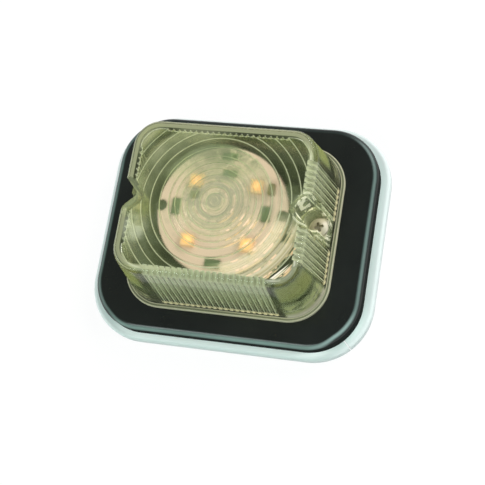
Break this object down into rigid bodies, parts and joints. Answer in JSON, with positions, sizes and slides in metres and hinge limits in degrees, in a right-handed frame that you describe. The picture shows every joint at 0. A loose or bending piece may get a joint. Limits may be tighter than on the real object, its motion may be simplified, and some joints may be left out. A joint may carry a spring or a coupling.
{
  "type": "position lamp",
  "caption": "Surface-mounted vehicle position lamp: a clear ribbed lens with screw wells over an amber LED board, on a black base with a pale edge gasket.",
  "frame": {"origin": "middle of the mounting surface, level with the back of the edge gasket", "axes": "+X along the lamp's length, +Y up its face as mounted, +Z out of the lens"},
  "size_m": [0.09, 0.0748, 0.0354],
  "materials": {
    "gasket_rubber": "pale grey, satin, slightly soft",
    "base_plastic": "black moulded plastic, low sheen",
    "lens_clear": "clear, faintly olive, polished outside",
    "seal_rubber": "matte",
    "board_white": "cream solder mask",
    "led_body": "pale moulded body",
    "led_amber": "amber, lit",
    "resistor_dark": "dark body with bright ends",
    "chip_dark": "matte",
    "capacitor_tan": "matte with bright ends",
    "connector_cream": "satin",
    "pin_brass": "plated",
    "grommet_rubber": "matte",
    "screw_steel": "plated"
  },
  "bodies": {
    "root": {"mounting_gasket": "gasket_rubber", "base_housing": "base_plastic", "lens": "lens_clear", "lens_seal": "seal_rubber", "circuit_board": "board_white", "led_body_1": "led_body", "led_body_2": "led_body", "led_body_3": "led_body", "led_body_4": "led_body", "led_window_1": "led_amber", "led_window_2": "led_amber", "led_window_3": "led_amber", "led_window_4": "led_amber", "resistor_top": "resistor_dark", "resistor_bottom": "resistor_dark", "resistor_left": "resistor_dark", "resistor_right": "resistor_dark", "diode": "chip_dark", "driver_chip": "chip_dark", "capacitor_large": "capacitor_tan", "capacitor_small": "capacitor_tan", "board_connector": "connector_cream", "connector_pin_1": "pin_brass", "connector_pin_2": "pin_brass", "cable_grommet": "grommet_rubber", "lens_screw_left": "screw_steel", "lens_screw_right": "screw_steel"}
  },
  "joints": []
}
